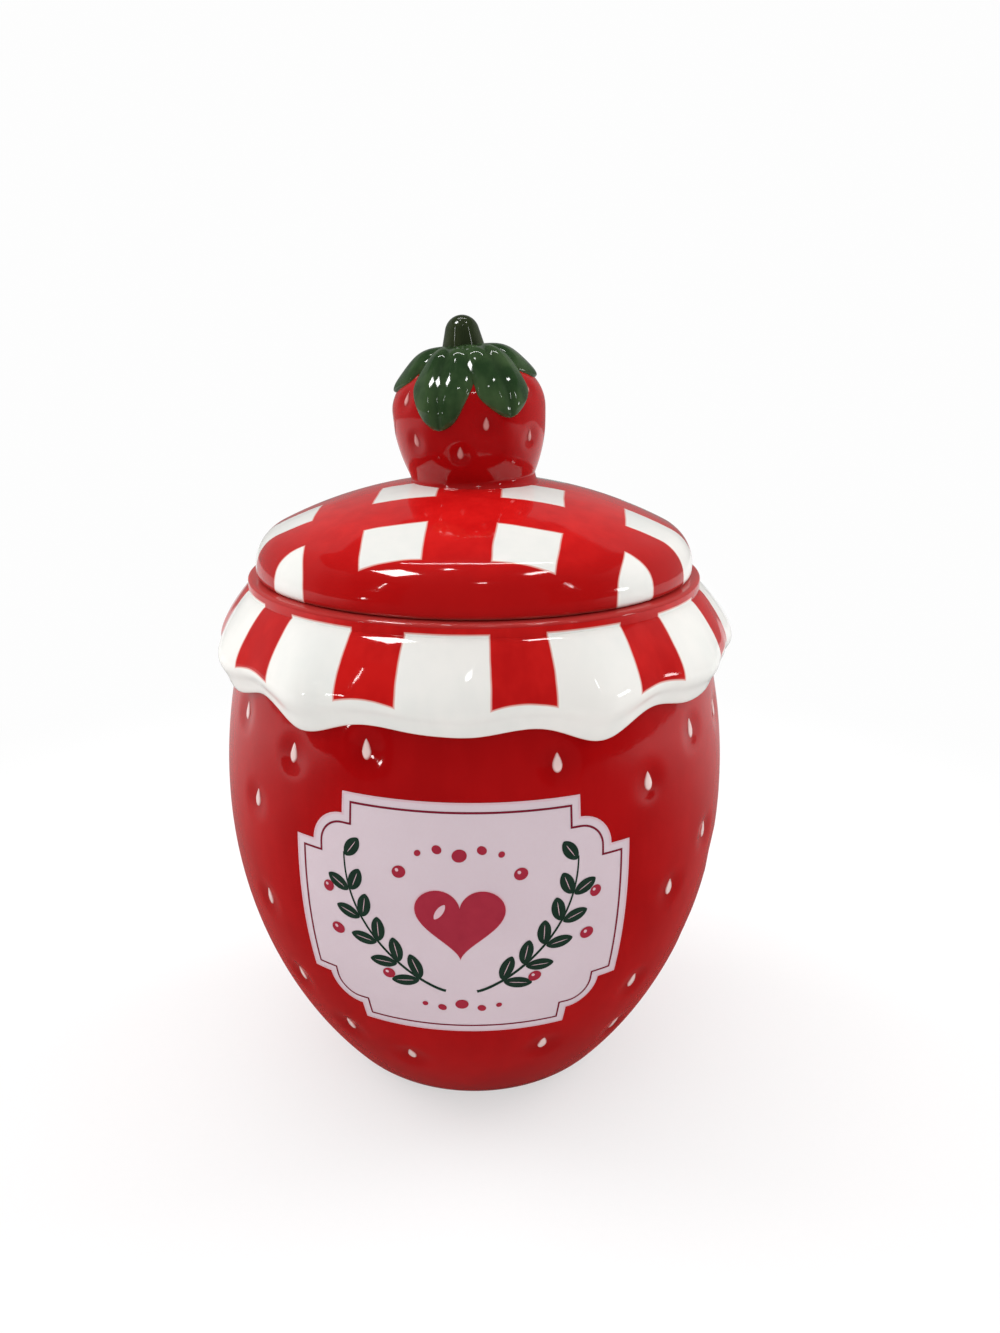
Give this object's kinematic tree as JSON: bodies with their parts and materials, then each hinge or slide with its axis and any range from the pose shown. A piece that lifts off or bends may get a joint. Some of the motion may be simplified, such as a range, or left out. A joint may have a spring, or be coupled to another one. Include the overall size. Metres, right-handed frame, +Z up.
{
  "type": "ceramic jam jar",
  "caption": "Round glazed ceramic jam jar with a moulded cloth-cover skirt under the rim and a lift-off domed lid whose knob is a strawberry.",
  "frame": {"origin": "centre of the foot, on the surface that the jar stands on", "axes": "+Z up along the jar's axis, -Y towards the label, +X to the right as the label is read"},
  "size_m": [0.1268, 0.1268, 0.1868],
  "materials": {
    "jar_glaze": "gloss",
    "lid_glaze": "gloss"
  },
  "bodies": {
    "root": {"jar": "jar_glaze", "lid": "lid_glaze"}
  },
  "joints": []
}
